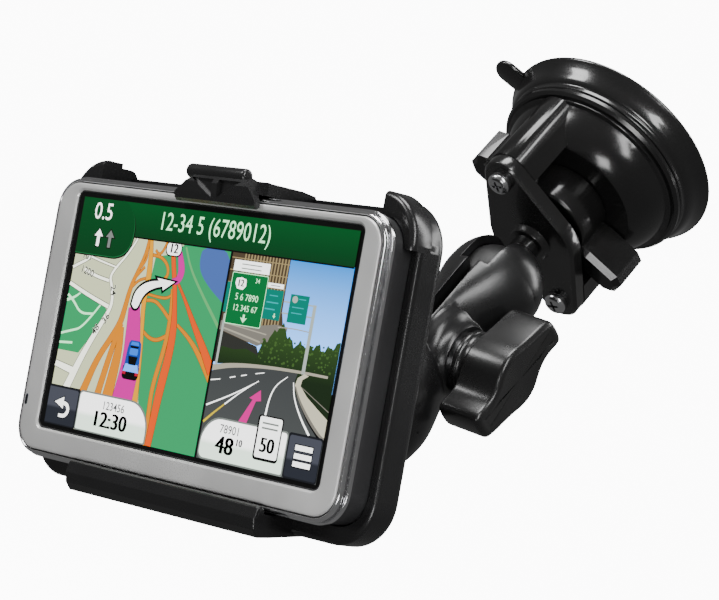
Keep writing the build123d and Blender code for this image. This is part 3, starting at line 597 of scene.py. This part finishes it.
    # signs over the road
    layer("view.gantry", 22, inks["pole"], [panel(47.3, 48.6, -4.0, 15.2), panel(35.6, 47.6, 14.7, 15.1),
                                          panel(35.6, 47.6, 11.5, 11.9), panel(12.5, 13.4, -5.5, 9.0)])
    layer("view.tealSigns", 23, inks["teal"], [panel(28.0, 35.0, 9.3, 17.7), panel(38.0, 45.4, 9.4, 17.3),
                                             panel(11.6, 13.3, 9.4, 18.1)])
    layer("view.signEdge", 23, inks["paleGreen"], [panel(13.2, 28.0, 6.3, 21.1, (0.5, 0.5, 0.5, 0.5))])
    layer("view.sign", 24, inks["sign"], [panel(13.4, 27.8, 6.5, 20.9, (0.4, 0.4, 0.4, 0.4))])
    layer("view.signHeader", 24, inks["white"], [panel(13.2, 27.9, 21.5, 24.6), panel(28.2, 34.6, 18.2, 19.5)])
    layer("view.headerLines", 25, inks["grey"], [panel(16.4, 24.6, 22.2, 22.5), panel(16.4, 24.6, 23.4, 23.7),
                                               panel(29.4, 33.2, 18.7, 18.95)])
    layer("view.signShield", 25, inks["white"], [[(15.0, 18.0), (16.0, 16.5), (18.4, 16.3), (19.5, 17.4),
                                                  (19.3, 19.3),
                                                (17.2, 19.8), (15.2, 19.4)]])
    bold("view.signShieldNumber", 26, inks["shade"], "12", 2.8, 17.2, 18.1, 0.14)
    for name, number, size, x, y in (("a", "34", 1.9, 23.9, 19.3), ("b", "5 6 7890", 2.7, 20.6, 14.2),
                                     ("c", "12 345 67", 2.5, 20.6, 11.1)):
        digits("view.signNumber." + name, 26, inks["paleGreen"], number, size, x, y, fat=0.01)
    layer("view.signArrow", 26, inks["paleGreen"], [
        [(20.4, 9.5), (20.4, 8.4), (19.4, 8.6), (20.8, 7.1), (22.2, 8.6), (21.2, 8.4), (21.2, 9.5)],
        [(32.6, 11.2), (32.6, 10.4), (32.2, 10.5), (32.8, 9.8), (33.4, 10.5), (33.0, 10.4), (33.0, 11.2)]])
    layer("view.tealLines", 25, inks["tealPale"], [panel(29.6, 33.0, 15.9, 16.2), panel(28.8, 33.6, 13.9, 14.3),
                                                  panel(28.6, 32.6, 12.0, 12.4), panel(41.4, 44.2, 16.0, 16.3),
                                                  panel(39.2, 43.8, 13.6, 13.9), panel(39.2, 43.4, 12.0, 12.3)])
    turn = np.linspace(0, 2 * np.pi, 17)[:-1]
    layer("view.farShield", 25, inks["pole"], [np.stack([39.9 + 1.1 * np.cos(turn),
                                                         15.9 + 1.0 * np.sin(turn)], 1)])
    layer("display.splitShade", 27, inks["black"], [panel(split - 0.5, split + 0.35, low, bar)])

    # bar along the top with the road's number, and the lane box
    layer("bar.shade", 28, inks["black"], [panel(left, right, bar - 0.45, bar + 0.3)])
    layer("bar.back", 29, inks["bar"], [panel(left, right, bar, high)])
    digits("bar.number", 30, inks["paleGreen"], "12-34 5 (6789012)", 7.6, 2.2, 32.4, fat=0.004, wide=0.84)
    bend = np.array([(-39.2, high), (-36.4, 36.2), (-33.2, 33.2), (-31.9, 29.4), (-32.2, 24.4), (-34.6, 21.2),
                     (-38.6, 19.9), (-41, 19.8)])
    for name, level, ink, out in (("shade", 30, "black", 0.4), ("edge", 31, "laneEdge", 0.0),
                                  ("back", 32, "lane", -0.22)):
        curve = softened(bend + (out, -out), 3)
        layer("lane." + name, level, inks[ink], [
            np.vstack([(curve[0, 0], high), curve[1:], (left, 19.8 - out), (left, high)])])
    digits("lane.numberBack", 33, inks["black"], "0.5", 7.2, -47.4, 33.0, fat=0.075)
    digits("lane.number", 34, inks["white"], "0.5", 7.2, -47.4, 33.0, fat=0.03)
    for name, x, ink in (("a", -47.9, "white"), ("b", -42.6, "grey")):
        arrow = np.array([(-0.65, -2.6), (0.65, -2.6), (0.65, 0.5), (1.9, 0.5), (0, 2.7), (-1.9, 0.5),
                          (-0.65, 0.5)]) + (x, 25.2)
        layer("lane.arrowBack." + name, 33, inks["black"], [grown(arrow, 0.3)])
        layer("lane.arrow." + name, 34, inks[ink], [arrow])

    # keys and fields along the bottom
    layer("key.backEdge", 28, inks["slateEdge"], [panel(left, -43.1, low, -20.6, (0, 0.6, 0.8, 0))])
    layer("key.back", 29, inks["slate"], [panel(left, -43.9, low + 0.4, -21.3, (0, 0.6, 0.8, 0))])
    bow = softened([(-51.6, -29.5, 1.0), (-48.9, -29.6, 1.1), (-47.3, -27.9, 1.3), (-48.2, -25.9, 1.2),
                    (-50.4, -25.6, 1.1)], 0)
    back = [ribbon(bow), np.array([(-54.2, -25.7), (-50.0, -27.4), (-50.2, -23.8)])]
    layer("key.backSignShade", 30, inks["black"], [grown(s, 0.28) for s in back])
    layer("key.backSign", 31, inks["white"], back)
    layer("field.leftShade", 28, inks["grey"], [panel(-43.4, -10.9, low, -20.6, (0.5, 0.5, 8.6, 1.2))])
    layer("field.left", 29, inks["field"], [panel(-42.9, -11.5, low + 0.4, -21.1, (0.5, 0.5, 8.4, 1.2))])
    digits("field.leftSmall", 30, inks["small"], "123456", 3.4, -27.2, -23.9, fat=0.03)
    bold("field.leftNumber", 30, inks["black"], "12:30", 6.6, -28.0, -28.3, 0.3, wide=1.08)
    layer("field.rightShade", 28, inks["grey"], [panel(11.9, 46.9, low, -20.1, (2.2, 0.6, 1.2, 7.6))])
    layer("field.right", 29, inks["field"], [panel(12.4, 46.4, low + 0.5, -20.6, (2, 0.6, 1.0, 7.4))])
    digits("field.rightSmall", 30, inks["small"], "78901", 3.4, 23.6, -23.2, fat=0.03)
    bold("field.rightNumber", 30, inks["black"], "48", 7.0, 22.4, -27.9, 0.3, wide=1.05)
    bold("field.rightUnit", 30, inks["black"], "10", 2.8, 28.0, -26.2, 0.14)
    layer("limit.shade", 30, inks["black"], [panel(34.1, 44.2, -29.5, -16.9, (1.2, 1.2, 1.0, 1.0))])
    layer("limit.face", 31, inks["white"], [panel(34.8, 43.7, -28.7, -17.3, (0.7, 0.7, 0.7, 0.7))])
    layer("limit.line", 32, inks["grey"], [panel(36.0, 42.4, -20.7, -20.2), panel(36.0, 42.4, -19.3, -18.8)])
    bold("limit.number", 32, inks["black"], "50", 5.8, 39.2, -25.3, 0.26)
    layer("key.menuEdge", 28, inks["slateEdge"], [panel(47.0, right, low, -20.0, (0.8, 0.8, 0.8, 0.8))])
    layer("key.menu", 29, inks["slate"], [panel(47.5, right - 0.3, low + 0.5, -20.6, (0.8, 0.8, 0.8, 0.8))])
    rows = [panel(50.2, 57.0, y, y + 1.45) for y in (-24.5, -26.8, -29.0)]
    layer("key.menuRowShade", 30, inks["black"], [grown(r, 0.3) for r in rows])
    layer("key.menuRows", 31, inks["white"], rows)


drawDisplay()
print("display drawn")


# soft edges on the moulded and cast pieces
edgeWidths = {"cradle_tray": 0.55, "cradle_latch": 0.45, "cup_base": 0.4, "cradle_base": 0.4, "arm_near_half": 0.5,
              "arm_far_half": 0.5, "twist_lever": 0.7, "cup_housing": 0.35, "rear_case": 0.3}
for name, width in edgeWidths.items():
    weld = nodes[name].modifiers.new("join", "WELD")
    weld.merge_threshold = 0.000002
    soft = nodes[name].modifiers.new("edge", "BEVEL")
    soft.width = width / 1000
    soft.segments = renderLevels
    soft.limit_method = "ANGLE"
    soft.angle_limit = math.radians(35)
    soft.harden_normals = True
print("edges softened")


# new surfaces
# Each is made in a frame of its own in millimetres, then carried to the row frame.

def direction(*parts):
    way = np.array(parts, float)
    return way / np.linalg.norm(way)


cupAxis = direction(0, 0.657375, 0.753563)
armAxis = direction(0, 0.674302, 0.738455)
knobAxis = direction(0.976672, 0.158572, -0.144797)
right = direction(1, 0, 0)
cupFrame = (np.zeros(3), right, np.cross(cupAxis, right), cupAxis)
armFrame = (np.array([0, -0.065436, -0.073950]), armAxis, np.cross(knobAxis, armAxis), knobAxis)
screenFrame = (screenCentre, right, direction(0, 0, 1), direction(0, -1, 0))


def carried(points, place):
    spot, x, y, z = place
    return spot + (points[..., :1] * x + points[..., 1:2] * y + points[..., 2:3] * z) / 1000


def looped(outline, times=3):
    # corner cutting all the way round a closed outline
    path = np.asarray(outline, float)
    for _ in range(times):
        ahead = np.roll(path, -1, 0)
        path = np.stack([path * 0.75 + ahead * 0.25, path * 0.25 + ahead * 0.75], 1).reshape(-1, 2)
    return path


def turnedPiece(name, profile, place, finish, body, steps=160):
    # every (radius, height) of the profile carried round the axis by the cosine and sine of the turn
    r, z = np.asarray(profile, float).T
    turn = np.linspace(0, 2 * np.pi, steps, endpoint=False)
    points = np.stack([r[:, None] * np.cos(turn), r[:, None] * np.sin(turn),
                       np.repeat(z[:, None], steps, 1)], 2)
    return finished(gridMesh(name, carried(points, place), closedColumns=True), finish, body)


def stackedPiece(name, outline, levels, place, finish, body):
    # the outline at each level, drawn in by its inset along the outline's normals, closed by a point at both ends
    outline = anticlockwise(outline)
    ring = [grown(outline, -inset) for _, inset in levels]
    middle = outline.mean(0)
    first = middle + (ring[0] - middle) * 0.001
    last = middle + (ring[-1] - middle) * 0.001
    heights = [levels[0][0], *[z for z, _ in levels], levels[-1][0]]
    points = np.stack([np.column_stack([flat, np.full(len(flat), z)])
                       for flat, z in zip([first, *ring, last], heights)])
    return finished(gridMesh(name, carried(points, place), closedColumns=True), finish, body)


def finished(made, finish, body):
    outwards(made)
    made.data.materials.append(finish)
    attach(made, body)
    return made


def outwards(made):
    # doubled points joined and the faces turned to look outwards
    work = bmesh.new()
    work.from_mesh(made.data)
    bmesh.ops.remove_doubles(work, verts=work.verts, dist=0.000002)
    bmesh.ops.recalc_face_normals(work, faces=work.faces)
    work.to_mesh(made.data)
    work.free()


def roundedLoop(halfWidth, halfHeight, radius, x=0.0, y=0.0, steps=14):
    # a rounded rectangle with the same count of points at each corner, anticlockwise from the right
    turn = np.radians(np.array([0, 90, 180, 270])[:, None] + np.linspace(0, 90, steps))
    side = np.array([[1, 1], [-1, 1], [-1, -1], [1, -1]])[:, None] * (halfWidth - radius, halfHeight - radius)
    return (side + radius * np.stack([np.cos(turn), np.sin(turn)], 2)).reshape(-1, 2) + (x, y)


def framePiece(name, rings, place, finish, body):
    # rings of points at their heights joined one to the next, and the last to the first
    points = np.stack([np.column_stack([flat, np.full(len(flat), z)]) for flat, z in rings])
    return finished(gridMesh(name, carried(points, place), closedRows=True, closedColumns=True), finish, body)


# the suction cup's rubber: flat under, a lip round the disc's pocket, a flare that thins to the rim
rubber = {"rim": 37.0, "seat": 31.6, "pocket": 10.5, "crown": -9.72}
flare = softened([(32.35, -9.4), (32.35, -8.0), (33.2, -7.5), (34.0, -6.3), (34.9, -3.9), (36.3, -1.7),
                  (rubber["rim"] - 0.05, -1.0), (rubber["rim"], -0.3), (rubber["rim"] - 0.5, 0.0)], 3)
profile = np.vstack([[(0.001, -6.4), (rubber["pocket"], -6.4), (rubber["pocket"], -7.9), (12, -8.0),
                      (16, rubber["crown"]),
                      (rubber["seat"], rubber["crown"])], flare, [(20, 0), (0.001, 0)]])
cupRubber = turnedPiece("cup.rubber", profile, cupFrame, finishes["cup_rubber"], "mount")
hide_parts("rubber_cup")
tab = {"turn": -132.0, "from": 35.0, "middle": 41.1, "half": 4.4}
c, s = math.cos(math.radians(tab["turn"])), math.sin(math.radians(tab["turn"]))
bow = np.linspace(-np.pi / 2, np.pi / 2, 25)
flat = np.vstack([[(tab["from"], -tab["half"])], np.stack([tab["middle"] + tab["half"] * np.cos(bow),
                                                           tab["half"] * np.sin(bow)], 1),
                  [(tab["from"], tab["half"])]])
flat = flat @ np.array(((c, s), (-s, c)))
stackedPiece("cup.tab", flat, [(-2.4, 0.5), (-2.2, 0.15), (-1.9, 0), (-1.1, 0), (-0.8, 0.15),
                                       (-0.6, 0.5)],
                     cupFrame, finishes["cup_rubber"], "mount")

# the clamp knob: two wings set off to opposite sides, every edge rolled over
knob = {"low": 17.0, "top": 31.45, "roll": 1.7}
wing = [(0, 10.7), (7.5, 8.9), (17.2, 7.9), (20.0, 6.4), (22.0, -1.6), (20.4, -3.6), (14.2, -3.2),
        (10.0, -5.0), (5.6, -9.4)]
outline = looped(wing + [(-x, -y) for x, y in wing], 3)
bend = np.linspace(0, np.pi / 2, 7)
rollUp = [(knob["low"] + 1.0 * (1 - math.cos(t)), 1.0 * (1 - math.sin(t))) for t in bend]
rollIn = [(knob["top"] - knob["roll"] * (1 - math.sin(t)), knob["roll"] * (1 - math.cos(t))) for t in bend]
grip = stackedPiece("knob.grip", outline, rollUp + rollIn + [(knob["top"] - 0.05, 2.6),
                                                             (knob["top"] - 0.25, 3.6)],
                    armFrame, finishes["knob_black"], "knob")
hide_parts("clamp_knob")
turnedPiece("knob.neck", softened([(4.7, 12.85), (9.4, 12.85), (10.0, 13.1), (10.0, 14.4), (9.5, 14.8),
                                           (9.1, 15.8), (9.3, 17.6), (4.7, 17.6), (4.7, 12.85)], 2),
                    armFrame, finishes["knob_black"], "knob")

# the bezel: a satin face between a bright rim, a dark groove and the window's bevel
bezel = {"halfWidth": 70.0, "halfHeight": 42.5, "corner": 9.5, "windowX": 0.6, "windowY": 2.3,
         "windowHalfWidth": 61.1, "windowHalfHeight": 36.45}


def outerRing(inset, height):
    return (roundedLoop(bezel["halfWidth"] - inset, bezel["halfHeight"] - inset, bezel["corner"] - inset),
            height)


def windowRing(out, height):
    return (roundedLoop(bezel["windowHalfWidth"] + out, bezel["windowHalfHeight"] + out, 2.4 + out,
                        bezel["windowX"], bezel["windowY"]), height)


face = framePiece("bezel.face", [
    outerRing(1.5, -2.3), outerRing(1.5, -0.30), outerRing(1.62, -0.10), outerRing(1.9, -0.02), outerRing(2.6, 0.0),
    windowRing(1.0, 0.0), windowRing(0.75, -0.03), windowRing(0.6, -0.12), windowRing(0.15, -0.62),
    windowRing(0.0, -0.8), windowRing(0.0, -2.3)], screenFrame, finishes["bezel_silver"], "cradle")
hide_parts("front_bezel")
rim = framePiece("bezel.rim", [
    outerRing(0.05, -2.55), outerRing(0.0, -1.3), outerRing(0.06, -0.85), outerRing(0.22, -0.52), outerRing(0.5, -0.34),
    outerRing(0.8, -0.34), outerRing(1.02, -0.5), outerRing(1.1, -0.9), outerRing(1.1, -2.55)],
    screenFrame, finishes["bright_trim"], "cradle")
framePiece("bezel.lining", [windowRing(0.1, -0.56), windowRing(-0.3, -0.74), windowRing(-0.3, -0.8),
                            windowRing(0.1, -0.8)], screenFrame, finishes["case_black"], "cradle")
framePiece("bezel.groove", [outerRing(1.0, -2.5), outerRing(1.0, -0.8), outerRing(1.6, -0.8),
                            outerRing(1.6, -2.5)],
           screenFrame, finishes["case_black"], "cradle")
# the mic slot as two flat glowing sheets on the bezel, both painted shade: a dim ring for the slot's shaded wall and a
# black middle for the shade down in the hole
for name, width, height, z, ink in (("mic.paintedShadeWall", 0.62, 1.7, 0.0, "slate"), ("mic.paintedShadeHole",
                                                                            0.4, 1.4, 0.012, "black")):
    flat = roundedLoop(width, height, width * 0.98, -67.3, -26.8, 8)
    made = makeMesh(name, carried(np.column_stack([flat, np.full(len(flat), z + 0.01)]), screenFrame),
                    [tuple(range(len(flat)))], smooth=False)
    made.data.materials.append(inks[ink])
    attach(made, "cradle")
print("new surfaces made")
